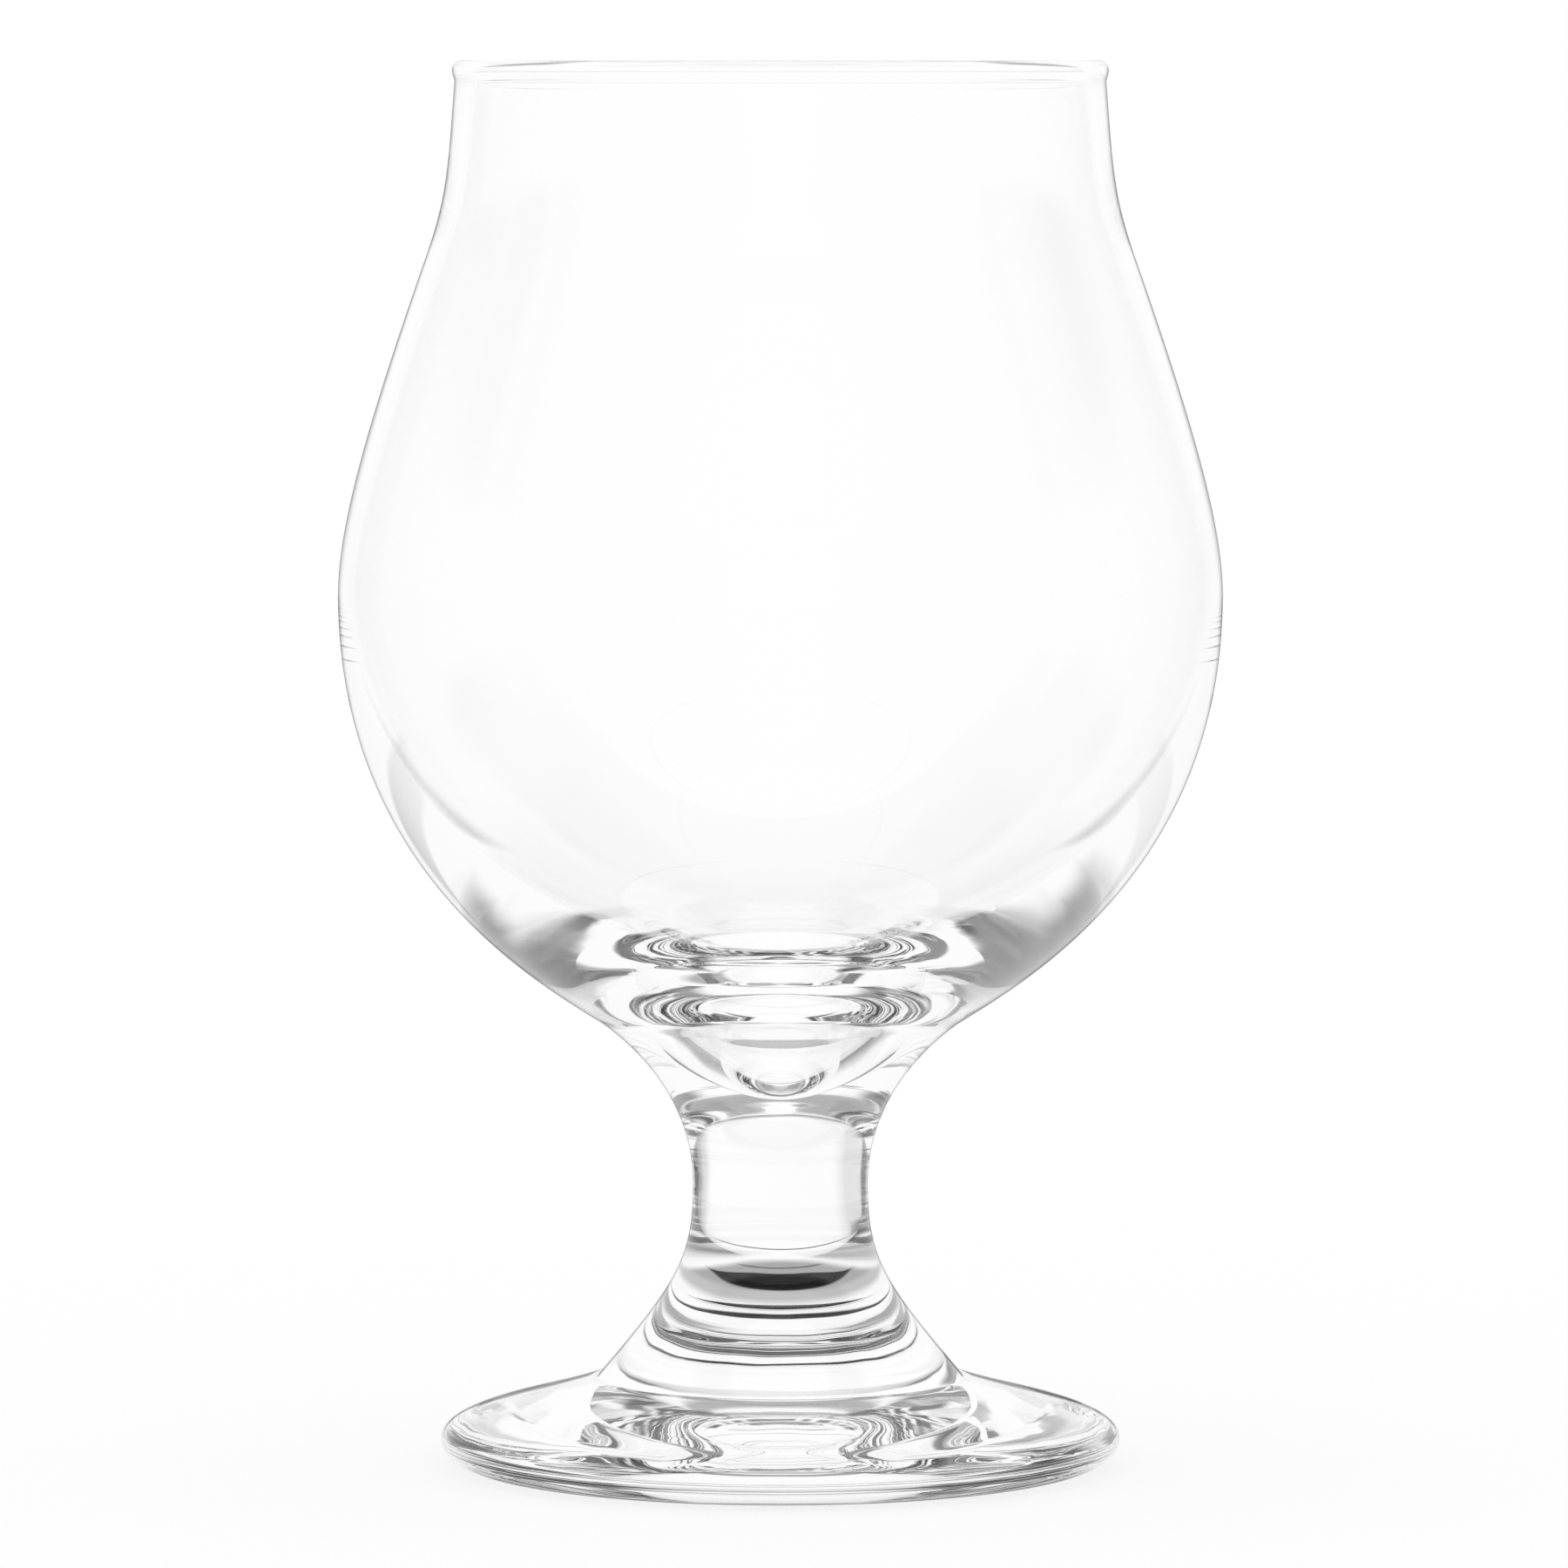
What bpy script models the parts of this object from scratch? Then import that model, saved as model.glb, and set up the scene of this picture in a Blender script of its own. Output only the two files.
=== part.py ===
"""Beer chalice of clear glass: a tulip bowl with a rolled rim, a solid waisted stem and a domed foot.

Metres, +Z up, origin at the centre of the ring that the foot stands on.
The three pieces are fused when the glass is hot; each is a solid of revolution about Z.
"""

import math

import bpy
from mathutils import Vector
from mathutils.geometry import interpolate_bezier

MM = 0.001

# Space left between two fused faces, so that the pieces stay separate solids.
SEAM_GAP = 0.3 * MM

# Foot: a domed disc with a full round edge, standing on a ring and hollowed underneath.
FOOT_RADIUS = 37.95 * MM
FOOT_HEIGHT = 10.0 * MM
FOOT_EDGE_HEIGHT = 3.3 * MM
FOOT_DOME_SLOPE = 19.8
FOOT_SEAT_STEP = 0.45 * MM
RING_INSET = 6.35 * MM
RING_WIDTH = 3.0 * MM
PUSH_UP = 2.2 * MM
PUSH_UP_SLOPE = 12.0

# Stem: solid, flared at both ends; its two lengths meet at the waist.
STEM_FOOT_RADIUS = 20.45 * MM
STEM_WAIST_RADIUS = 9.77 * MM
STEM_BOWL_RADIUS = 19.75 * MM
STEM_LOWER_LENGTH = 21.65 * MM
STEM_UPPER_LENGTH = 17.85 * MM
STEM_FOOT_ANGLE = 40.4
STEM_BOWL_ANGLE = 53.0

# Bowl: outside sizes, its three heights stacked from the stem to the rim.
LOWER_BOWL_HEIGHT = 47.67 * MM
UPPER_BOWL_HEIGHT = 37.45 * MM
NECK_HEIGHT = 21.88 * MM
BELLY_RADIUS = 49.2 * MM
SHOULDER_RADIUS = 39.4 * MM
NECK_RADIUS = 36.15 * MM
BOWL_SEAT_ANGLE = 57.0
SHOULDER_ANGLE = 19.5
NECK_ANGLE = 4.1
SEAT_DEPTH = 9.0 * MM
SEAT_LAND = 0.8 * MM
SEAT_SLOPE = 30.0

# Bowl: wall, thin at the belly, floor of the cavity, drawn down to a rounded cone in the middle,
# and how far the rim bead swells past the wall.
WALL_NECK = 1.75 * MM
WALL_SHOULDER = 1.3 * MM
WALL_BELLY = 1.05 * MM
FLOOR_THICKNESS = 3.3 * MM
CONE_RADIUS = 14.2 * MM
CONE_DEPTH = 11.5 * MM
CONE_EDGE_SLOPE = 15.0
RIM_SWELL = 0.25 * MM

SEGMENTS = 64

FOOT_TOP = FOOT_HEIGHT
STEM_BASE = FOOT_TOP + SEAM_GAP
STEM_WAIST = FOOT_TOP + STEM_LOWER_LENGTH
STEM_TOP = STEM_WAIST + STEM_UPPER_LENGTH
BOWL_BASE = STEM_TOP + SEAM_GAP
BELLY = BOWL_BASE + LOWER_BOWL_HEIGHT
SHOULDER = BELLY + UPPER_BOWL_HEIGHT
RIM_TOP = SHOULDER + NECK_HEIGHT


def heading(angle):
    """Unit step in the (radius, height) plane; 0 is straight down, positive leans away from the axis."""
    turn = math.radians(angle)
    return Vector((math.sin(turn), -math.cos(turn)))


def bend(start, start_angle, start_pull, end, end_angle, end_pull, points):
    """Smooth stretch from start to end; the pulls are handle lengths as shares of the chord."""
    start = Vector(start)
    end = Vector(end)
    chord = (end - start).length
    near = start + heading(start_angle) * chord * start_pull
    far = end - heading(end_angle) * chord * end_pull
    return interpolate_bezier(start, near, far, end, points)


def arc(centre, radius, first, last, points):
    """Round stretch about a centre, angles in degrees from straight outward."""
    run = []
    for step in range(points):
        turn = math.radians(first + (last - first) * step / (points - 1))
        run.append(Vector(centre) + Vector((math.cos(turn), math.sin(turn))) * radius)
    return run


def joined(*runs):
    """One outline from stretches that share their end points."""
    outline = []
    for run in runs:
        for point in run:
            point = Vector(point)
            if not outline or (point - outline[-1]).length > 1e-7:
                outline.append(point)
    return outline


def glass(name):
    """Clear soda-lime glass, a material of its own for each piece."""
    material = bpy.data.materials.new(name)
    material.use_nodes = True
    shader = material.node_tree.nodes["Principled BSDF"]
    shader.inputs["Base Color"].default_value = (0.97, 0.98, 0.98, 1.0)
    shader.inputs["Roughness"].default_value = 0.02
    shader.inputs["IOR"].default_value = 1.5
    shader.inputs["Transmission Weight"].default_value = 1.0
    return material


def turned(name, outline):
    """Turn an outline, listed from the top of the axis down the outside, into a solid of revolution."""
    mesh = bpy.data.meshes.new(name)
    edges = [(i, i + 1) for i in range(len(outline) - 1)]
    mesh.from_pydata([(p.x, 0.0, p.y) for p in outline], edges, [])
    piece = bpy.data.objects.new(name, mesh)
    bpy.context.scene.collection.objects.link(piece)
    mesh.materials.append(glass("glass_" + name))
    screw = piece.modifiers.new("turn", "SCREW")
    screw.axis = "Z"
    screw.angle = math.tau
    screw.steps = SEGMENTS
    screw.render_steps = SEGMENTS
    screw.use_merge_vertices = True
    screw.merge_threshold = 0.00001
    screw.use_smooth_shade = True
    return piece


def build_foot():
    """Domed disc: flat seat for the stem, sloping top, full round edge, resting ring, hollow underside."""
    edge = (FOOT_RADIUS, FOOT_EDGE_HEIGHT)
    ring = (FOOT_RADIUS - RING_INSET, 0.0)
    hollow = (ring[0] - RING_WIDTH, 0.0)
    seat = (STEM_FOOT_RADIUS + FOOT_SEAT_STEP, FOOT_TOP)
    dome_angle = 90.0 - FOOT_DOME_SLOPE
    outline = joined(
        [(0.0, FOOT_TOP), seat],
        bend(seat, dome_angle, 0.475, edge, 0.0, 0.17, 12),
        bend(edge, 0.0, 0.41, ring, -90.0, 0.33, 7),
        [ring, hollow],
        bend(hollow, -90.0 - PUSH_UP_SLOPE, 0.4, (0.0, PUSH_UP), -90.0, 0.4, 8),
    )
    return turned("foot", outline)


def seat_curve(level):
    """Rounded dish from the axis to a narrow level land at the seam, the same for both fused faces."""
    land = (STEM_BOWL_RADIUS - SEAT_LAND, level)
    dish = bend((0.0, level - SEAT_DEPTH), 90.0, 0.3, land, 90.0 + SEAT_SLOPE, 0.35, 5)
    return joined(dish, [land, (STEM_BOWL_RADIUS, level)])


def build_stem():
    """Solid waisted stem: rounded cup on top for the bowl, flat end on the foot."""
    waist = (STEM_WAIST_RADIUS, STEM_WAIST)
    lip = (STEM_BOWL_RADIUS, STEM_TOP)
    end = (STEM_FOOT_RADIUS, STEM_BASE)
    outline = joined(
        seat_curve(STEM_TOP),
        bend(lip, -STEM_BOWL_ANGLE, 0.46, waist, 0.0, 0.28, 12),
        bend(waist, 0.0, 0.347, end, STEM_FOOT_ANGLE, 0.568, 12),
        [end, (0.0, STEM_BASE)],
    )
    return turned("stem", outline)


def build_bowl():
    """Tulip bowl: rolled bead, thin wall, thick floor with a rounded cone, round end that sits in the stem."""
    half_neck = WALL_NECK / 2.0
    bead_radius = half_neck + RIM_SWELL
    bead = (NECK_RADIUS - half_neck, RIM_TOP - bead_radius)
    meet = math.degrees(math.acos(half_neck / bead_radius))
    neck_height = bead[1] - bead_radius * math.sin(math.radians(meet))
    floor = (0.0, BOWL_BASE - SEAT_DEPTH + FLOOR_THICKNESS)
    brink = (CONE_RADIUS, floor[1] + CONE_DEPTH)
    brink_angle = 90.0 + CONE_EDGE_SLOPE

    belly_in = (BELLY_RADIUS - WALL_BELLY, BELLY)
    shoulder_in = (SHOULDER_RADIUS - WALL_SHOULDER, SHOULDER)
    neck_in = (NECK_RADIUS - WALL_NECK, neck_height)
    belly = (BELLY_RADIUS, BELLY)
    shoulder = (SHOULDER_RADIUS, SHOULDER)
    neck = (NECK_RADIUS, neck_height)
    seam = (STEM_BOWL_RADIUS, BOWL_BASE)

    outline = joined(
        bend(floor, 90.0, 0.28, brink, brink_angle, 0.21, 8),
        bend(brink, brink_angle, 0.375, belly_in, 180.0, 0.36, 10),
        bend(belly_in, 180.0, 0.18, shoulder_in, 180.0 + SHOULDER_ANGLE, 0.55, 8),
        bend(shoulder_in, 180.0 + SHOULDER_ANGLE, 0.343, neck_in, 180.0 + NECK_ANGLE, 0.52, 6),
        arc(bead, bead_radius, 180.0 + meet, -meet, 9),
        bend(neck, NECK_ANGLE, 0.52, shoulder, SHOULDER_ANGLE, 0.343, 6),
        bend(shoulder, SHOULDER_ANGLE, 0.55, belly, 0.0, 0.18, 8),
        bend(belly, 0.0, 0.553, seam, -BOWL_SEAT_ANGLE, 0.145, 14),
        reversed(seat_curve(BOWL_BASE)),
    )
    return turned("bowl", outline)


for old in list(bpy.data.objects):
    bpy.data.objects.remove(old, do_unlink=True)

build_foot()
build_stem()
build_bowl()
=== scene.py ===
import math

import bmesh
import bpy
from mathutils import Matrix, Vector
from mathutils.geometry import interpolate_bezier


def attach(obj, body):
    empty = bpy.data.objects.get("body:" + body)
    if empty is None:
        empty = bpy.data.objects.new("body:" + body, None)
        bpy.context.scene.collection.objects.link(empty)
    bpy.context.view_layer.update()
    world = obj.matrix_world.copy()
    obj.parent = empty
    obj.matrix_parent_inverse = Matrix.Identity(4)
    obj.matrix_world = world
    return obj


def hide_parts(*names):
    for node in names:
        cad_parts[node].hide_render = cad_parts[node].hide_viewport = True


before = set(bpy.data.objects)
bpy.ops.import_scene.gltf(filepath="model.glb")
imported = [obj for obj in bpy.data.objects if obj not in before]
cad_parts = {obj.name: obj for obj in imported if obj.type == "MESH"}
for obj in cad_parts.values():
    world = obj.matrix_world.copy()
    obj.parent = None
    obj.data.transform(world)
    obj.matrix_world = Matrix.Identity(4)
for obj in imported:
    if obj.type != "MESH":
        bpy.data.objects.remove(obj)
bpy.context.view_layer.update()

MM = 0.001
MM_PER_METRE = 1000.0
DEGREES_PER_RADIAN = 180.0 / math.pi

# Sizes are those of the CAD source, but fused faces touch here and the rim bead runs softly into the wall.

# Foot: a domed disc, standing on a ring and hollowed underneath.
FOOT_RADIUS = 37.95 * MM
FOOT_HEIGHT = 10.0 * MM
FOOT_EDGE_HEIGHT = 3.3 * MM
FOOT_DOME_SLOPE = 19.8
FOOT_SEAT_STEP = 0.45 * MM
RING_INSET = 6.35 * MM
RING_WIDTH = 3.0 * MM
PUSH_UP = 2.2 * MM
PUSH_UP_SLOPE = 12.0

# Stem: its two lengths meet at the waist.
STEM_FOOT_RADIUS = 20.45 * MM
STEM_WAIST_RADIUS = 9.77 * MM
STEM_BOWL_RADIUS = 19.75 * MM
STEM_LOWER_LENGTH = 21.65 * MM
STEM_UPPER_LENGTH = 18.0 * MM
STEM_FOOT_ANGLE = 40.4
STEM_BOWL_ANGLE = 53.0

# Bowl: outside sizes, its three heights stacked from the stem to the rim.
LOWER_BOWL_HEIGHT = 47.82 * MM
UPPER_BOWL_HEIGHT = 37.45 * MM
NECK_HEIGHT = 21.88 * MM
BELLY_RADIUS = 49.2 * MM
SHOULDER_RADIUS = 39.4 * MM
NECK_RADIUS = 36.15 * MM
BOWL_SEAT_ANGLE = 57.0
SHOULDER_ANGLE = 19.5
NECK_ANGLE = 4.1
SEAT_DEPTH = 9.0 * MM
SEAT_LAND = 0.8 * MM
SEAT_SLOPE = 30.0

# Bowl: wall, rim bead and the floor of the cavity, drawn down to a rounded cone in the middle.
WALL_NECK = 1.75 * MM
WALL_SHOULDER = 1.3 * MM
WALL_BELLY = 1.05 * MM
RIM_SWELL = 0.25 * MM
BEAD_RUN = 1.3 * MM
CAVITY_DROP = 5.55 * MM
CONE_RADIUS = 14.2 * MM
CONE_DEPTH = 11.5 * MM
CONE_EDGE_SLOPE = 15.0

# Heights above the floor and the two edges where pieces meet, as (radius, height).
STEM_WAIST = FOOT_HEIGHT + STEM_LOWER_LENGTH
SEAM = STEM_WAIST + STEM_UPPER_LENGTH
BELLY = SEAM + LOWER_BOWL_HEIGHT
SHOULDER = BELLY + UPPER_BOWL_HEIGHT
RIM_TOP = SHOULDER + NECK_HEIGHT
CAVITY_FLOOR = SEAM - CAVITY_DROP
STEM_END = (STEM_FOOT_RADIUS, FOOT_HEIGHT)
SEAM_EDGE = (STEM_BOWL_RADIUS, SEAM)

# Headings of an outline in degrees.
DOWN = 0.0
OUTWARD = 90.0
UP = 180.0
INWARD = -90.0

# Mesh: steps round the axis, distance at which points count as one, angle from which an edge is sharp.
SEGMENTS = 256
SAME_POINT = 1e-7
SHARP_ANGLE = 30.0

# Material slots of every piece.
CLEAR = 0
FUSED = 1

# Glass: index and waviness, which fades out with height from the thick base of the bowl to its wall.
GLASS_INDEX = 1.5
RIPPLE_SCALE = 260.0
RIPPLE_FADE = (46.0 * MM, 57.0 * MM)
RIPPLE_THICK = 0.02 * MM
RIPPLE_THIN = 0.001 * MM

# Studio. Tones run from 0, black, to 1, white. Azimuths and heights over the horizon are in degrees.
# Azimuth 0 lies straight behind the glass, and a side is an azimuth without its sign. A reach, the distance
# from the glass's axis on the floor, and the length of a ray are in millimetres. A pair of places gives
# where a tone starts and where it is full, and four places are a band: start, full, full, end.
WHITE = 1.0
BLACK = 0.0

# The panels round the table as (azimuth, tone): a white window behind, dark gaps beside it.
PANELS = (
    (-180.0, 0.25), (-168.0, 0.15), (-156.0, 0.7), (-146.0, 0.25), (-136.0, 0.85), (-127.0, 0.1),
    (-116.0, 0.2), (-108.0, 0.8), (-99.0, 0.3), (-91.0, 0.75), (-84.0, 0.3), (-76.0, 0.4), (-69.0, 0.62),
    (-62.0, 0.5), (-54.0, 0.27), (-47.0, 0.22), (-40.0, 0.4), (-33.0, 0.85), (-24.0, 0.98), (38.0, 1.0),
    (48.0, 0.7), (56.0, 0.4), (63.0, 0.08), (71.0, 0.06), (78.0, 0.4), (92.0, 0.75), (101.0, 0.2),
    (111.0, 0.75), (121.0, 0.15), (133.0, 0.6), (146.0, 0.15), (180.0, 0.25),
)
FULL_TURN = 360.0

# Over the panels: white behind, grey walls at the sides, a near white ceiling on the camera's side, and
# a lintel and a zenith in grey.
PANEL_TOP_SIDE = (70.0, 100.0)
PANEL_TOP = (20.0, 44.0)
PANEL_TOP_BLUR = 14.0
UPPER_WALL_SIDE = (38.0, 58.0)
UPPER_WALL = 0.35
CEILING_SIDE = (85.0, 120.0)
CEILING = 0.95
LINTEL_HEIGHT = (32.0, 37.0, 43.0, 50.0)
LINTEL_SIDE = (66.0, 52.0)
LINTEL = 0.4
ZENITH_HEIGHT = (72.0, 80.0)
ZENITH_SIDE = (110.0, 80.0)
ZENITH = 0.4

# Two strips at the left.
LIGHT_STRIP_AZIMUTH = (-59.0, -53.0, -37.0, -30.0)
LIGHT_STRIP = 0.76
DARK_STRIP_AZIMUTH = (-78.0, -70.0, -60.0, -55.0)
DARK_STRIP = 0.1
STRIP_HEIGHT = (30.0, 22.0)
STRIP_REACH = (60.0, 90.0)

# Light after inner reflections: harder tones, a narrow window after two, a whiter camera's side after three
# and a wide window after five.
FOLD_FROM = (0.27, 0.78)
FOLD_TO = (0.03, 1.0)
NARROW_SIDE = (24.0, 36.0)
NARROW_SHARE = 0.8
NARROW = 0.1
WIDE_SIDE = (110.0, 90.0)
WIDE_SHARE = 0.7
WIDE_MIDDLE = (48.0, 58.0)
WIDE_MIDDLE_SHARE = 0.4
BACK_SIDE = (115.0, 130.0)
BACK_SHARE = 0.75

# Light that ran along in the bowl's wall. Runs are counted in reflections, and left and right differ.
LEFT_TO_RIGHT = (-10.0, 10.0)
WALL_RUN = (5.5, 6.5)
WALL_RUN_HEIGHT = (30.0, 22.0)
WALL_RUN_SIDE = (48.0, 56.0, 110.0, 125.0)
WALL_RUN_TONES = (0.2, 0.1)
HEIGHT_PER_RUN = 8.5
FAR_RUN_START = (9.8, 8.7)
FAR_RUN_SIDE = (76.0, 96.0)
FAR_RUN_DELAY = 3.5
FAR_RUN_BLUR = 3.4
FAR_RUN = 0.98

# What the outer faces mirror.
MIRROR_GAP_SIDE = (6.0, 22.0)
MIRROR_GAP_TONES = (0.15, 0.9)
MIRROR_ROOM_HEIGHT = (1.0, 4.0)
MIRROR_ROOM = 0.95
MIRROR_TOP_HEIGHT = (36.0, 42.0)
MIRROR_TOP_SIDE = (80.0, 100.0)
MIRROR_TOP = 0.08

# Rays through the thin wall, turned back by it, glancing, or through the cone of the cavity.
THIN_SHADE = 0.02
THIN_HEIGHT = (24.0, 12.0)
TURNED_BACK_SIDE = (85.0, 110.0)
GLANCE_HEIGHT = (22.0, 14.0)
GLANCE_LENGTH = (80.0, 120.0)
THROUGH_CONE_HEIGHT = (27.0, 38.0)
THROUGH_CONE_SIDE = (110.0, 90.0)
THROUGH_CONE = 0.38

# The floor: its radius in metres, how far it lies under the glass, its glow, and how it shows the panels.
FLOOR_RADIUS = 12.0
FLOOR_SEGMENTS = 96
FLOOR_DROP = 0.02 * MM
FLOOR_GLOW = 0.8
FLOOR_SIDE = (25.0, 70.0)
FLOOR_SIDE_TONES = (1.0, 0.5)
FOLDED_PANELS = 0.5

# Painted shadow on the floor close to the foot, seen only by rays from the glass: a dark line behind
# it, patches under its edge, a shade beyond it. Short rays are those from the foot's underside.
SHORT_RAY = (2.6, 2.3)
SHADOW_LINE_REACH = (44.6, 45.2, 46.2, 46.8)
SHADOW_LINE_SIDE = (40.0, 20.0)
SHADOW_LINE = 0.03
CONTACT_SHADOW_REACH = (24.0, 27.0, 35.5, 37.0)
CONTACT_SHADOW_SIDE = (38.0, 46.0, 58.0, 66.0)
CONTACT_SHADOW = 0.06
BRIM_SHADE_REACH = (36.5, 37.5, 48.0, 60.0)
BRIM_SHADE_SIDE = (40.0, 20.0)
BRIM_SHADE_LENGTH = (3.3, 4.0, 10.0, 16.0)
BRIM_SHADE = 0.08

# Painted shade on the floor under the hollow of the foot: grey in rings, a dark arc and a black crescent
# behind the axis.
UNDER_REACH = (5.0, 9.0)
UNDER_TONES = (0.6, 0.38)
UNDER_RING_REACH = (17.6, 19.5)
UNDER_RING = 0.54
UNDER_END = (20.5, 22.5)
ARC_REACH = (10.2, 10.5, 10.9, 11.2)
ARC_SIDE = (28.0, 20.0)
ARC_SHARE = 0.8
ARC = 0.08
CRESCENT_INNER_SIDE = (7.0, 20.0)
CRESCENT_INNER_REACH = (13.1, 15.2)
CRESCENT_OUTER_SIDE = (0.0, 24.0)
CRESCENT_OUTER_REACH = (18.5, 15.6)
CRESCENT_BLUR = (-0.3, 0.3)

# The dark line of the rim: long rays whose excess, length minus reach, is large enough.
RIM_LINE_EXCESS = (-2.0, 6.0)
RIM_LINE_LENGTH = (140.0, 154.0)
RIM_LINE = 0.05

# Places on the floor that the outer faces mirror: far beside the glass, and a painted shade close before
# it.
BESIDE_REACH = (185.0, 205.0, 290.0, 330.0)
BESIDE_SIDE = (22.0, 30.0, 56.0, 66.0)
BESIDE_AZIMUTH = (-15.0, 15.0)
BESIDE_TONES = (0.08, 0.5)
SHADE_BEFORE_REACH = (80.0, 65.0)
SHADE_BEFORE_SIDE = (100.0, 120.0)
SHADE_BEFORE_LENGTH = (78.0, 66.0)
SHADE_BEFORE = 0.2

# Camera: focal length in pixels of the photograph, place in metres, and how far it looks down in degrees.
PHOTO_WIDTH = 1800.0
FOCAL_PIXELS = 11823.3
SENSOR_WIDTH = 36.0
CAMERA_PLACE = (0.0004, -1.145, 0.1574)
CAMERA_TILT = 4.0482
CAMERA_RANGE = 50.0


# Outlines

def heading(angle):
    """Unit step in the (radius, height) plane; 0 is straight down, positive leans away from the axis."""
    turn = math.radians(angle)
    return Vector((math.sin(turn), -math.cos(turn)))


def bend(start, start_angle, start_pull, end, end_angle, end_pull, points):
    """Smooth stretch from start to end; the pulls are handle lengths as shares of the chord."""
    start = Vector(start)
    end = Vector(end)
    chord = (end - start).length
    near = start + heading(start_angle) * chord * start_pull
    far = end - heading(end_angle) * chord * end_pull
    return interpolate_bezier(start, near, far, end, points)


def arc(centre, radius, first, last, points):
    """Round stretch about a centre, angles in degrees from straight outward."""
    run = []
    for step in range(points):
        turn = math.radians(first + (last - first) * step / (points - 1))
        run.append(Vector(centre) + Vector((math.cos(turn), math.sin(turn))) * radius)
    return run


def joined(*runs):
    """One outline from stretches that share their end points."""
    outline = []
    for run in runs:
        for point in run:
            point = Vector(point)
            if not outline or (point - outline[-1]).length > SAME_POINT:
                outline.append(point)
    return outline


def swept(bm, point):
    """Vertices that a point of an outline leaves: a ring, or a single one on the axis."""
    if point.x < SAME_POINT:
        return [bm.verts.new((0.0, 0.0, point.y))]
    ring = []
    for step in range(SEGMENTS):
        turn = math.tau * step / SEGMENTS
        ring.append(bm.verts.new((point.x * math.cos(turn), point.x * math.sin(turn), point.y)))
    return ring


def turned(name, stretches):
    """Solid of revolution from (material slot, points) stretches that lead from the axis to the axis."""
    bm = bmesh.new()
    outline = []
    rings = []
    slots = []
    for slot, stretch in stretches:
        for point in stretch:
            if outline and (point - outline[-1]).length < SAME_POINT:
                continue
            outline.append(point)
            rings.append(swept(bm, point))
            slots.append(slot)
    for before, after, slot in zip(rings, rings[1:], slots[1:]):
        for step in range(SEGMENTS):
            beside = (step + 1) % SEGMENTS
            if len(before) == 1:
                corners = (before[0], after[step], after[beside])
            elif len(after) == 1:
                corners = (before[step], after[0], before[beside])
            else:
                corners = (before[step], after[step], after[beside], before[beside])
            face = bm.faces.new(corners)
            face.material_index = slot
            face.smooth = True
    bmesh.ops.recalc_face_normals(bm, faces=bm.faces)
    mesh = bpy.data.meshes.new(name)
    bm.to_mesh(mesh)
    bm.free()
    mesh.set_sharp_from_angle(angle=math.radians(SHARP_ANGLE))
    piece = bpy.data.objects.new(name, mesh)
    bpy.context.scene.collection.objects.link(piece)
    return piece


# Pieces

def seat_curve():
    """Rounded dish from the axis to a narrow level land at the seam, where the bowl sits in the stem."""
    land = (STEM_BOWL_RADIUS - SEAT_LAND, SEAM)
    dish = bend((0.0, SEAM - SEAT_DEPTH), OUTWARD, 0.3, land, OUTWARD + SEAT_SLOPE, 0.35, 12)
    return joined(dish, [land, SEAM_EDGE])


def build_bowl():
    """Tulip bowl: rolled bead, thin wall, thick floor with a rounded cone, round end in the stem's cup."""
    half_neck = WALL_NECK / 2.0
    bead_radius = half_neck + RIM_SWELL
    bead = (NECK_RADIUS - half_neck, RIM_TOP - bead_radius)
    bead_in = (bead[0] - bead_radius, bead[1])
    bead_out = (bead[0] + bead_radius, bead[1])
    neck_height = bead[1] - BEAD_RUN
    neck_in = (NECK_RADIUS - WALL_NECK, neck_height)
    neck = (NECK_RADIUS, neck_height)
    shoulder_in = (SHOULDER_RADIUS - WALL_SHOULDER, SHOULDER)
    shoulder = (SHOULDER_RADIUS, SHOULDER)
    belly_in = (BELLY_RADIUS - WALL_BELLY, BELLY)
    belly = (BELLY_RADIUS, BELLY)
    brink = (CONE_RADIUS, CAVITY_FLOOR + CONE_DEPTH)
    brink_angle = OUTWARD + CONE_EDGE_SLOPE
    skin = joined(
        bend((0.0, CAVITY_FLOOR), OUTWARD, 0.28, brink, brink_angle, 0.21, 40),
        bend(brink, brink_angle, 0.375, belly_in, UP, 0.36, 60),
        bend(belly_in, UP, 0.18, shoulder_in, UP + SHOULDER_ANGLE, 0.55, 24),
        bend(shoulder_in, UP + SHOULDER_ANGLE, 0.343, neck_in, UP + NECK_ANGLE, 0.52, 14),
        bend(neck_in, UP + NECK_ANGLE, 0.45, bead_in, UP, 0.5, 10),
        arc(bead, bead_radius, 180.0, 0.0, 32),
        bend(bead_out, DOWN, 0.5, neck, NECK_ANGLE, 0.45, 10),
        bend(neck, NECK_ANGLE, 0.52, shoulder, SHOULDER_ANGLE, 0.343, 14),
        bend(shoulder, SHOULDER_ANGLE, 0.55, belly, DOWN, 0.18, 24),
        bend(belly, DOWN, 0.553, SEAM_EDGE, -BOWL_SEAT_ANGLE, 0.145, 60),
    )
    return turned("bowl_glass", [(CLEAR, skin), (FUSED, reversed(seat_curve()))])


def build_stem():
    """Solid waisted stem: rounded cup on top for the bowl, flat end on the foot."""
    waist = (STEM_WAIST_RADIUS, STEM_WAIST)
    skin = joined(
        bend(SEAM_EDGE, -STEM_BOWL_ANGLE, 0.46, waist, DOWN, 0.28, 36),
        bend(waist, DOWN, 0.347, STEM_END, STEM_FOOT_ANGLE, 0.568, 36),
    )
    end = joined([STEM_END, (0.0, FOOT_HEIGHT)])
    return turned("stem_glass", [(FUSED, seat_curve()), (CLEAR, skin), (FUSED, end)])


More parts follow.
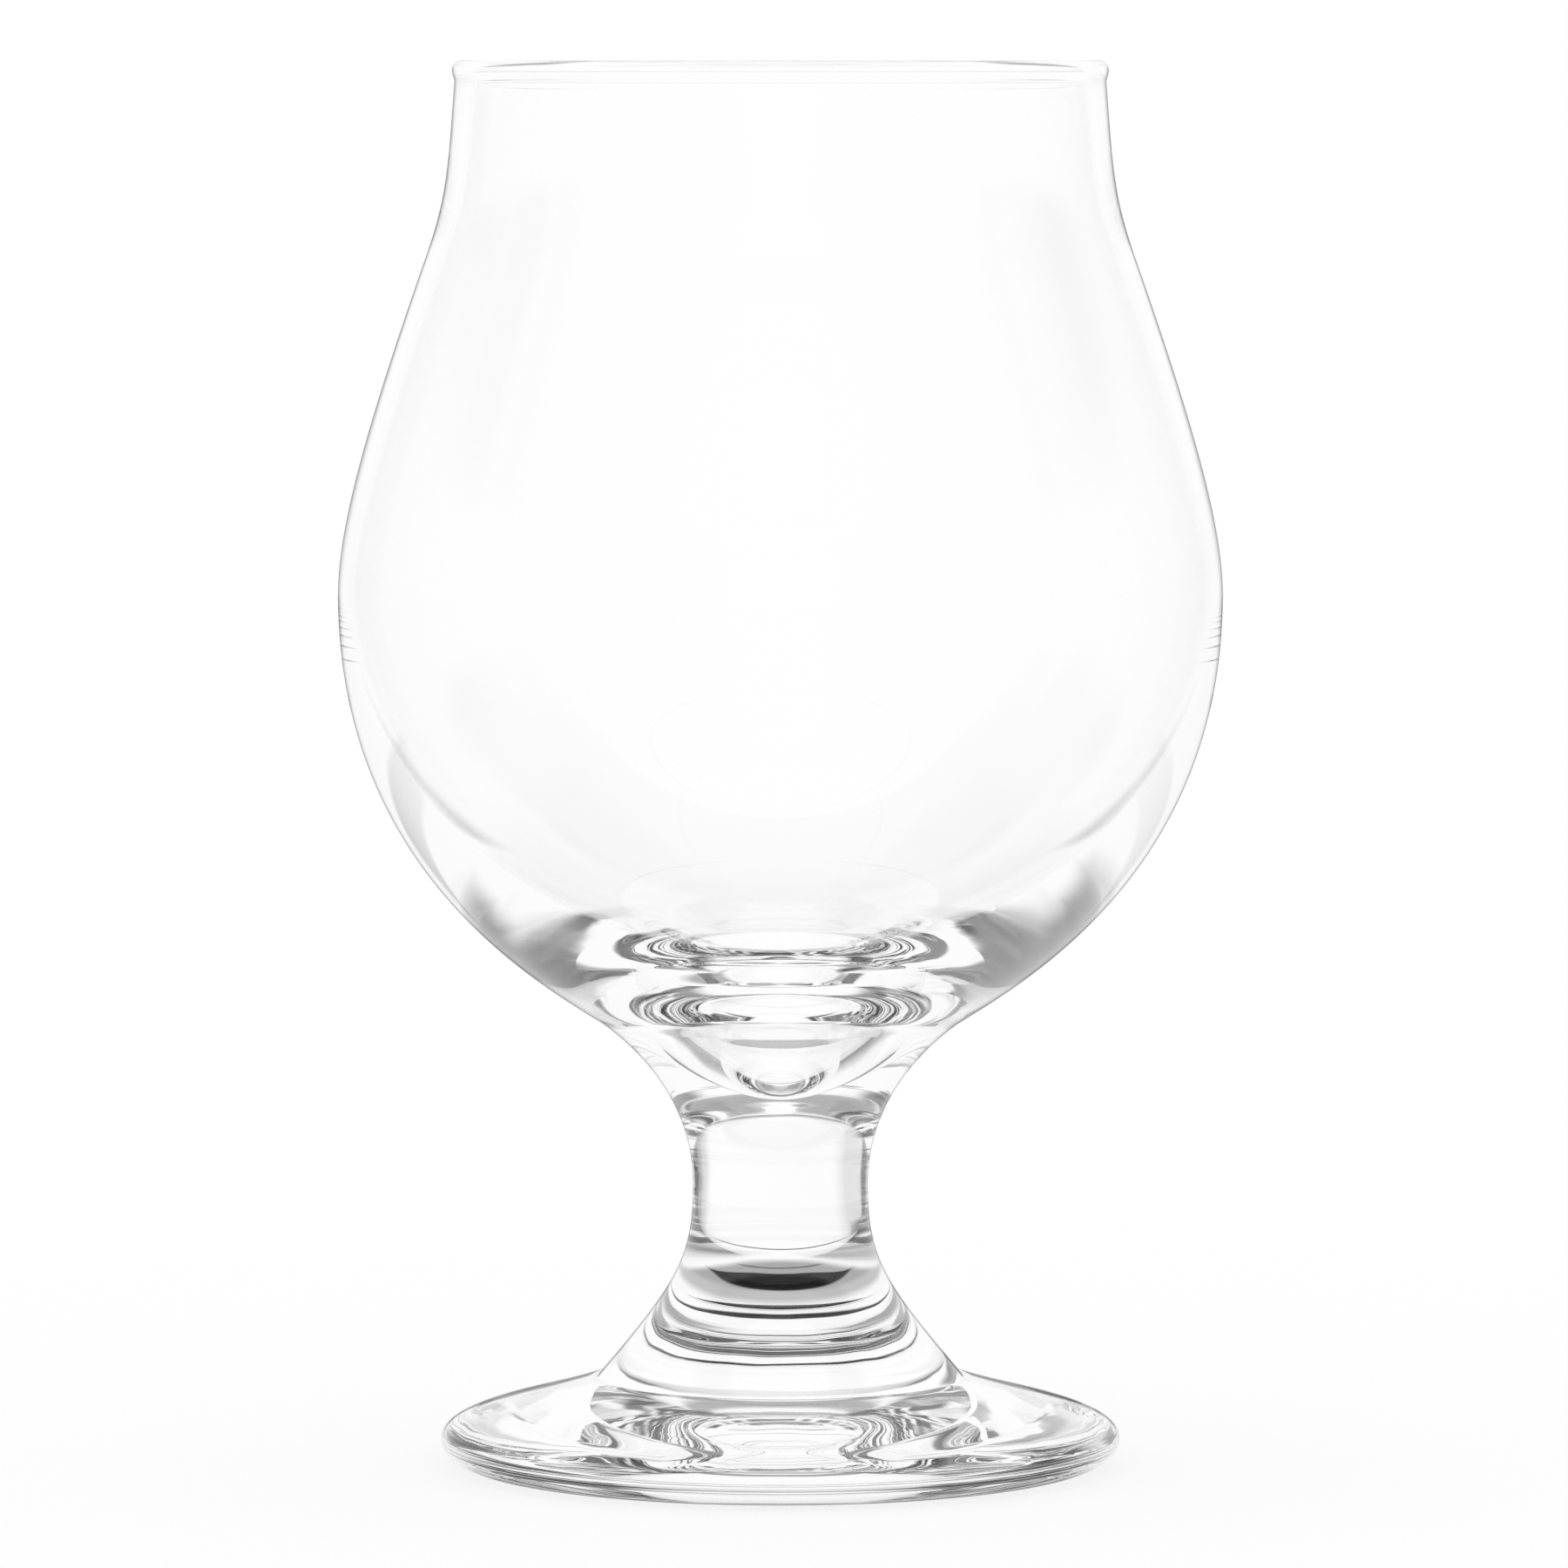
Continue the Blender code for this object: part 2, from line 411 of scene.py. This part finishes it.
def build_foot():
    """Domed disc: flat seat for the stem, sloping top, full round edge, resting ring, hollow underside."""
    seat = (STEM_FOOT_RADIUS + FOOT_SEAT_STEP, FOOT_HEIGHT)
    edge = (FOOT_RADIUS, FOOT_EDGE_HEIGHT)
    ring = (FOOT_RADIUS - RING_INSET, 0.0)
    hollow = (ring[0] - RING_WIDTH, 0.0)
    joint = joined([(0.0, FOOT_HEIGHT), STEM_END])
    skin = joined(
        [STEM_END, seat],
        bend(seat, OUTWARD - FOOT_DOME_SLOPE, 0.475, edge, DOWN, 0.17, 40),
        bend(edge, DOWN, 0.41, ring, INWARD, 0.33, 24),
        [ring, hollow],
        bend(hollow, INWARD - PUSH_UP_SLOPE, 0.4, (0.0, PUSH_UP), INWARD, 0.4, 40),
    )
    return turned("foot_glass", [(FUSED, joint), (CLEAR, skin)])


# Shader nodes

class Graph:
    """Short way to wire nodes; a value is a number or another node's socket."""

    def __init__(self, tree):
        self.tree = tree

    def node(self, kind, **settings):
        made = self.tree.nodes.new(kind)
        for key, value in settings.items():
            setattr(made, key, value)
        return made

    def put(self, socket, value):
        if isinstance(value, bpy.types.NodeSocket):
            self.tree.links.new(value, socket)
        else:
            socket.default_value = value

    def fill(self, made, *values):
        """Give a node its first inputs, and return its first output."""
        for socket, value in zip(made.inputs, values):
            self.put(socket, value)
        return made.outputs[0]

    def maths(self, operation, *values):
        return self.fill(self.node("ShaderNodeMath", operation=operation), *values)

    def times(self, value, *others):
        for other in others:
            value = self.maths("MULTIPLY", value, other)
        return value

    def smooth(self, value, low, high, to_low=0.0, to_high=1.0):
        """Smooth step from to_low, where the value is low, to to_high, where it is high."""
        made = self.node("ShaderNodeMapRange", interpolation_type="SMOOTHSTEP")
        return self.fill(made, value, low, high, to_low, to_high)

    def band(self, value, places):
        """1 between the two middle places, smoothly down to 0 at the outer ones."""
        start, full, full_end, end = places
        return self.times(self.smooth(value, start, full), self.smooth(value, end, full_end))

    def fewer(self, count, limit):
        """1 where a whole number is below the limit, else 0."""
        return self.maths("LESS_THAN", count, limit - 0.5)

    def at_least(self, count, limit):
        """1 where a whole number has reached the limit, else 0."""
        return self.maths("GREATER_THAN", count, limit - 0.5)

    def exactly(self, count, wanted):
        """1 where a whole number is the wanted one, else 0."""
        return self.maths("COMPARE", count, wanted, 0.5)

    def blend(self, factor, first, second):
        """Value between the first, at factor 0, and the second, at factor 1."""
        made = self.node("ShaderNodeMix", data_type="FLOAT")
        self.put(made.inputs[0], factor)
        self.put(made.inputs[2], first)
        self.put(made.inputs[3], second)
        return made.outputs[0]

    def grey(self, tone):
        return self.fill(self.node("ShaderNodeCombineColor"), tone, tone, tone)

    def either(self, factor, first, second):
        """Shader between the first, at factor 0, and the second, at factor 1."""
        return self.fill(self.node("ShaderNodeMixShader"), factor, first, second)


class Ray:
    """Azimuth of the place that a ray meets, and what the ray has been through in the glass."""

    def __init__(self, graph, place):
        axes = graph.node("ShaderNodeSeparateXYZ")
        graph.put(axes.inputs[0], place)
        turn = graph.maths("ARCTAN2", axes.outputs[0], axes.outputs[1])
        self.azimuth = graph.times(turn, DEGREES_PER_RADIAN)
        self.side = graph.maths("ABSOLUTE", self.azimuth)
        self.rise = axes.outputs[2]
        path = graph.node("ShaderNodeLightPath").outputs
        self.span = path["Ray Length"]
        self.reflections = path["Glossy Depth"]
        self.crossings = path["Transmission Depth"]
        self.refracted = path["Is Transmission Ray"]
        self.from_glass = path["Is Glossy Ray"]
        self.mirrored = graph.maths("SUBTRACT", self.from_glass, self.refracted)
        self.direct = graph.fewer(self.reflections, 1)
        self.outer = graph.fewer(self.crossings, 1)


# Materials

def glass_material(name):
    """Clear soda glass with the faint waviness that pressing and fire polishing leave in thick glass."""
    material = bpy.data.materials.new(name)
    material.use_nodes = True
    graph = Graph(material.node_tree)
    shader = material.node_tree.nodes["Principled BSDF"]
    shader.inputs["Base Color"].default_value = (1.0, 1.0, 1.0, 1.0)
    shader.inputs["Roughness"].default_value = 0.0
    shader.inputs["IOR"].default_value = GLASS_INDEX
    shader.inputs["Transmission Weight"].default_value = 1.0
    where = graph.node("ShaderNodeTexCoord").outputs["Object"]
    waves = graph.node("ShaderNodeTexNoise")
    waves.inputs["Scale"].default_value = RIPPLE_SCALE
    waves.inputs["Detail"].default_value = 0.0
    graph.put(waves.inputs["Vector"], where)
    axes = graph.node("ShaderNodeSeparateXYZ")
    graph.put(axes.inputs[0], where)
    relief = graph.node("ShaderNodeBump")
    relief.inputs["Strength"].default_value = 1.0
    depth = graph.smooth(axes.outputs[2], *RIPPLE_FADE, RIPPLE_THICK, RIPPLE_THIN)
    graph.put(relief.inputs["Distance"], depth)
    graph.put(relief.inputs["Height"], waves.outputs["Fac"])
    graph.put(shader.inputs["Normal"], relief.outputs["Normal"])
    return material


def fused_material():
    """Faces where two gathers have melted together: nothing shows there."""
    material = bpy.data.materials.new("fused_joint")
    material.use_nodes = True
    nodes = material.node_tree.nodes
    nodes.remove(nodes["Principled BSDF"])
    clear = nodes.new("ShaderNodeBsdfTransparent")
    material.node_tree.links.new(clear.outputs["BSDF"], nodes["Material Output"].inputs["Surface"])
    return material


# Tones of the room and the floor, as the glass shows them

def ramp(graph, value, stops):
    """Tone that runs smoothly through (position, tone) stops."""
    made = graph.node("ShaderNodeValToRGB")
    ends = made.color_ramp
    ends.interpolation = "EASE"
    while len(ends.elements) < len(stops):
        ends.elements.new(0.5)
    for element, (place, tone) in zip(ends.elements, stops):
        element.position = place
        element.color = (tone, tone, tone, 1.0)
    return graph.fill(made, value)


def room_round(graph, ray):
    """The panels round the table, by azimuth."""
    turn = graph.maths("MULTIPLY_ADD", ray.azimuth, 1.0 / FULL_TURN, 0.5)
    return ramp(graph, turn, [(azimuth / FULL_TURN + 0.5, tone) for azimuth, tone in PANELS])


def room_behind(graph, ray, height):
    """The panels, with grey walls, the ceiling, the lintel and the zenith over them."""
    upper = graph.smooth(ray.side, *UPPER_WALL_SIDE, WHITE, UPPER_WALL)
    upper = graph.blend(graph.smooth(ray.side, *CEILING_SIDE), upper, CEILING)
    top = graph.smooth(ray.side, *PANEL_TOP_SIDE, *PANEL_TOP)
    over = graph.smooth(height, top, graph.maths("ADD", top, PANEL_TOP_BLUR))
    room = graph.blend(over, room_round(graph, ray), upper)
    lintel = graph.times(graph.band(height, LINTEL_HEIGHT), graph.smooth(ray.side, *LINTEL_SIDE))
    room = graph.blend(lintel, room, LINTEL)
    zenith = graph.times(graph.smooth(height, *ZENITH_HEIGHT), graph.smooth(ray.side, *ZENITH_SIDE))
    return graph.blend(graph.times(zenith, graph.at_least(ray.crossings, 4)), room, ZENITH)


def left_strip(graph, ray, share, tone):
    """Seen straight through the glass, the left side has a light strip and a dark one beyond it."""
    tone = graph.blend(graph.times(graph.band(ray.azimuth, LIGHT_STRIP_AZIMUTH), share), tone, LIGHT_STRIP)
    return graph.blend(graph.times(graph.band(ray.azimuth, DARK_STRIP_AZIMUTH), share), tone, DARK_STRIP)


def folded(graph, ray, tone):
    """Light folded up by inner reflections: narrow strips, near black beside white.

    Two reflections leave a narrow window with dark beside it, three whiten the camera's side, and five
    spread the window wide.
    """
    tone = graph.blend(graph.at_least(ray.reflections, 2), tone, graph.smooth(tone, *FOLD_FROM, *FOLD_TO))
    narrow = graph.smooth(ray.side, *NARROW_SIDE, 0.0, NARROW_SHARE)
    tone = graph.blend(graph.times(graph.exactly(ray.reflections, 2), narrow), tone, NARROW)
    wide = graph.smooth(ray.side, *WIDE_SIDE, 0.0, WIDE_SHARE)
    wide = graph.times(wide, graph.smooth(ray.side, *WIDE_MIDDLE, WIDE_MIDDLE_SHARE, 1.0))
    tone = graph.blend(graph.times(graph.exactly(ray.reflections, 5), wide), tone, WHITE)
    back = graph.smooth(ray.side, *BACK_SIDE, 0.0, BACK_SHARE)
    return graph.blend(graph.times(graph.exactly(ray.reflections, 3), back), tone, WHITE)


def far_run(graph, ray, height, tone):
    """Light that ran along inside the bowl's wall: grey at first, and the farther it ran the whiter."""
    wall = graph.times(graph.smooth(ray.reflections, *WALL_RUN), graph.smooth(height, *WALL_RUN_HEIGHT))
    wall = graph.times(wall, graph.band(ray.side, WALL_RUN_SIDE))
    tone = graph.blend(wall, tone, graph.smooth(ray.azimuth, *LEFT_TO_RIGHT, *WALL_RUN_TONES))
    run = graph.maths("MULTIPLY_ADD", height, 1.0 / HEIGHT_PER_RUN, ray.reflections)
    start = graph.smooth(ray.azimuth, *LEFT_TO_RIGHT, *FAR_RUN_START)
    start = graph.maths("ADD", start, graph.smooth(ray.side, *FAR_RUN_SIDE, 0.0, FAR_RUN_DELAY))
    return graph.blend(graph.smooth(run, start, graph.maths("ADD", start, FAR_RUN_BLUR)), tone, FAR_RUN)


def through_thin_wall(graph, ray):
    """1 where a ray crossed both walls of the bowl with one inner reflection at most, else 0."""
    return graph.times(graph.at_least(ray.crossings, 4), graph.fewer(ray.reflections, 2))


def turned_back(graph, ray):
    """1 on the camera's side for rays with one inner reflection at most, else 0."""
    return graph.times(graph.fewer(ray.reflections, 2), graph.smooth(ray.side, *TURNED_BACK_SIDE))


def glanced(graph, ray):
    """1 where a ray was reflected once and crossed two faces at most, else 0."""
    return graph.times(graph.exactly(ray.reflections, 1), graph.fewer(ray.crossings, 3))


def mirror_tone(graph, ray, height):
    """What the outer faces mirror: a white room with a dark gap behind, which draws the outline."""
    gap = graph.smooth(ray.side, *MIRROR_GAP_SIDE, *MIRROR_GAP_TONES)
    gap = graph.blend(graph.smooth(height, *MIRROR_ROOM_HEIGHT), gap, MIRROR_ROOM)
    top = graph.times(graph.smooth(height, *MIRROR_TOP_HEIGHT), graph.smooth(ray.side, *MIRROR_TOP_SIDE))
    return graph.blend(top, gap, MIRROR_TOP)


def room_tone(graph, ray, height):
    """What rays through the glass see of the room."""
    room = room_behind(graph, ray, height)
    thin = graph.blend(THIN_SHADE, WHITE, room)
    room = left_strip(graph, ray, graph.times(ray.direct, graph.smooth(height, *STRIP_HEIGHT)), room)
    room = folded(graph, ray, room)
    room = far_run(graph, ray, height, room)
    level = graph.maths("MAXIMUM", graph.smooth(height, *THIN_HEIGHT), ray.direct)
    level = graph.maths("MAXIMUM", level, graph.at_least(ray.crossings, 6))
    room = graph.blend(graph.times(through_thin_wall(graph, ray), level), room, thin)
    room = graph.blend(turned_back(graph, ray), room, WHITE)
    room = graph.blend(graph.times(glanced(graph, ray), graph.smooth(height, *GLANCE_HEIGHT)), room, WHITE)
    cone = graph.times(graph.at_least(ray.crossings, 4), graph.exactly(ray.reflections, 1))
    cone = graph.times(cone, graph.smooth(height, *THROUGH_CONE_HEIGHT))
    cone = graph.times(cone, graph.smooth(ray.side, *THROUGH_CONE_SIDE))
    return graph.blend(cone, room, THROUGH_CONE)


def painted_shade_under_foot(graph, ray, reach):
    """Painted shade on the floor under the hollow of the foot."""
    tone = graph.smooth(reach, *UNDER_REACH, *UNDER_TONES)
    tone = graph.blend(graph.smooth(reach, *UNDER_RING_REACH), tone, UNDER_RING)
    dark_arc = graph.times(graph.band(reach, ARC_REACH), graph.smooth(ray.side, *ARC_SIDE, 0.0, ARC_SHARE))
    tone = graph.blend(dark_arc, tone, ARC)
    inner_edge = graph.smooth(ray.side, *CRESCENT_INNER_SIDE, *CRESCENT_INNER_REACH)
    outer_edge = graph.smooth(ray.side, *CRESCENT_OUTER_SIDE, *CRESCENT_OUTER_REACH)
    past_inner = graph.smooth(graph.maths("SUBTRACT", reach, inner_edge), *CRESCENT_BLUR)
    before_outer = graph.smooth(graph.maths("SUBTRACT", outer_edge, reach), *CRESCENT_BLUR)
    return graph.blend(graph.times(past_inner, before_outer), tone, BLACK)


def floor_tone(graph, ray, reach, length):
    """What rays through the glass see of the floor."""
    plain = graph.smooth(ray.side, *FLOOR_SIDE, *FLOOR_SIDE_TONES)
    room = graph.blend(graph.blend(ray.direct, FOLDED_PANELS, 1.0), plain, room_round(graph, ray))
    room = left_strip(graph, ray, graph.times(ray.direct, graph.smooth(reach, *STRIP_REACH)), room)
    room = folded(graph, ray, room)
    # Painted shadow of the foot on the floor: a dark line behind it, patches under its edge, a shade beyond
    # it.
    shadow_line = graph.times(graph.band(reach, SHADOW_LINE_REACH), graph.smooth(ray.side, *SHADOW_LINE_SIDE), ray.direct)
    room = graph.blend(shadow_line, room, SHADOW_LINE)
    short = graph.smooth(length, *SHORT_RAY)
    contact_shadow = graph.times(graph.band(reach, CONTACT_SHADOW_REACH), graph.band(ray.side, CONTACT_SHADOW_SIDE), short)
    room = graph.blend(contact_shadow, room, CONTACT_SHADOW)
    few = graph.fewer(ray.reflections, 3)
    brim_shade = graph.times(graph.band(reach, BRIM_SHADE_REACH), graph.smooth(ray.side, *BRIM_SHADE_SIDE))
    brim_shade = graph.times(brim_shade, graph.band(length, BRIM_SHADE_LENGTH), few, graph.maths("SUBTRACT", 1.0, ray.direct))
    room = graph.blend(brim_shade, room, BRIM_SHADE)
    # Painted shade under the hollow of the foot, seen by short rays from its underside.
    under = graph.blend(graph.times(short, few), room, painted_shade_under_foot(graph, ray, reach))
    room = graph.blend(graph.smooth(reach, *UNDER_END), under, room)
    room = far_run(graph, ray, 0.0, room)
    thin = through_thin_wall(graph, ray)
    room = graph.blend(thin, room, WHITE)
    excess = graph.maths("SUBTRACT", length, reach)
    rim_line = graph.times(graph.smooth(excess, *RIM_LINE_EXCESS), graph.smooth(length, *RIM_LINE_LENGTH))
    room = graph.blend(graph.times(rim_line, thin, ray.direct), room, RIM_LINE)
    room = graph.blend(turned_back(graph, ray), room, WHITE)
    return graph.blend(graph.times(glanced(graph, ray), graph.smooth(length, *GLANCE_LENGTH)), room, WHITE)


def floor_mirrored(graph, ray, reach, length):
    """What the outer faces mirror of the floor, with a painted shade close before the glass. Inner faces
    mirror it white.
    """
    beside = graph.times(graph.band(reach, BESIDE_REACH), graph.band(ray.side, BESIDE_SIDE))
    beside_tone = graph.smooth(ray.azimuth, *BESIDE_AZIMUTH, *BESIDE_TONES)
    low = graph.blend(beside, mirror_tone(graph, ray, 0.0), beside_tone)
    # Painted shade on the floor close before the glass, seen only in the outer faces' reflections.
    before = graph.times(graph.smooth(reach, *SHADE_BEFORE_REACH), graph.smooth(ray.side, *SHADE_BEFORE_SIDE))
    before = graph.times(before, graph.smooth(length, *SHADE_BEFORE_LENGTH))
    return graph.blend(ray.outer, WHITE, graph.blend(before, low, SHADE_BEFORE))


# Studio

def build_room():
    """White world; rays that come from the glass see the room's tones in it."""
    world = bpy.data.worlds.new("studio")
    bpy.context.scene.world = world
    world.use_nodes = True
    graph = Graph(world.node_tree)
    where = graph.node("ShaderNodeTexCoord").outputs["Generated"]
    ray = Ray(graph, where)
    height = graph.times(graph.maths("ARCSINE", ray.rise), DEGREES_PER_RADIAN)
    seen = graph.blend(ray.refracted, WHITE, room_tone(graph, ray, height))
    seen = graph.blend(graph.times(ray.mirrored, ray.outer), seen, mirror_tone(graph, ray, height))
    background = world.node_tree.nodes["Background"]
    graph.put(background.inputs["Color"], graph.grey(seen))
    background.inputs["Strength"].default_value = 1.0


def floor_material():
    """White floor that glows and keeps a soft shadow; rays that come from the glass see its tones, with
    painted shadow and shade round and under the foot.
    """
    material = bpy.data.materials.new("floor_white")
    material.use_nodes = True
    material.cycles.emission_sampling = "NONE"
    nodes = material.node_tree.nodes
    nodes.remove(nodes["Principled BSDF"])
    graph = Graph(material.node_tree)
    where = graph.node("ShaderNodeTexCoord").outputs["Object"]
    ray = Ray(graph, where)
    distance = graph.node("ShaderNodeVectorMath", operation="LENGTH")
    graph.put(distance.inputs[0], where)
    reach = graph.times(distance.outputs["Value"], MM_PER_METRE)
    length = graph.times(ray.span, MM_PER_METRE)
    through = floor_tone(graph, ray, reach, length)
    mirrored = floor_mirrored(graph, ray, reach, length)
    tone = graph.blend(ray.mirrored, through, mirrored)
    shown = graph.fill(graph.node("ShaderNodeEmission"), graph.grey(tone))
    matt = graph.fill(graph.node("ShaderNodeBsdfDiffuse"), (1.0, 1.0, 1.0, 1.0))
    glow = graph.fill(graph.node("ShaderNodeEmission"))
    plain = graph.either(FLOOR_GLOW, matt, glow)
    graph.put(nodes["Material Output"].inputs["Surface"], graph.either(ray.from_glass, plain, shown))
    return material


def build_floor():
    """Wide disc just under the glass."""
    mesh = bpy.data.meshes.new("floor")
    bm = bmesh.new()
    bmesh.ops.create_circle(bm, cap_ends=True, segments=FLOOR_SEGMENTS, radius=FLOOR_RADIUS)
    bm.to_mesh(mesh)
    bm.free()
    mesh.materials.append(floor_material())
    made = bpy.data.objects.new("floor", mesh)
    made.location = (0.0, 0.0, -FLOOR_DROP)
    bpy.context.scene.collection.objects.link(made)
    return made


def build_camera():
    """Long lens at the height of the rim, looking slightly down."""
    camera_data = bpy.data.cameras.new("camera")
    camera_data.sensor_fit = "HORIZONTAL"
    camera_data.sensor_width = SENSOR_WIDTH
    camera_data.lens = SENSOR_WIDTH * FOCAL_PIXELS / PHOTO_WIDTH
    camera_data.clip_end = CAMERA_RANGE
    camera = bpy.data.objects.new("camera", camera_data)
    camera.location = CAMERA_PLACE
    camera.rotation_euler = (math.radians(90.0 - CAMERA_TILT), 0.0, 0.0)
    bpy.context.scene.collection.objects.link(camera)
    bpy.context.scene.camera = camera


# Scene

fused = fused_material()
for piece, node in ((build_bowl(), "bowl"), (build_stem(), "stem"), (build_foot(), "foot")):
    piece.data.materials.append(glass_material(node + "_clear_glass"))
    piece.data.materials.append(fused)
    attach(piece, "root")
    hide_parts(node)

build_room()
floor = build_floor()
build_camera()

bpy.context.scene.view_settings.view_transform = "Standard"
# Light runs far inside thick glass: along the bowl's wall it is reflected dozens of times.
light_paths = bpy.context.scene.cycles
light_paths.max_bounces = 256
light_paths.glossy_bounces = 250
light_paths.transmission_bounces = 250
light_paths.transparent_max_bounces = 32
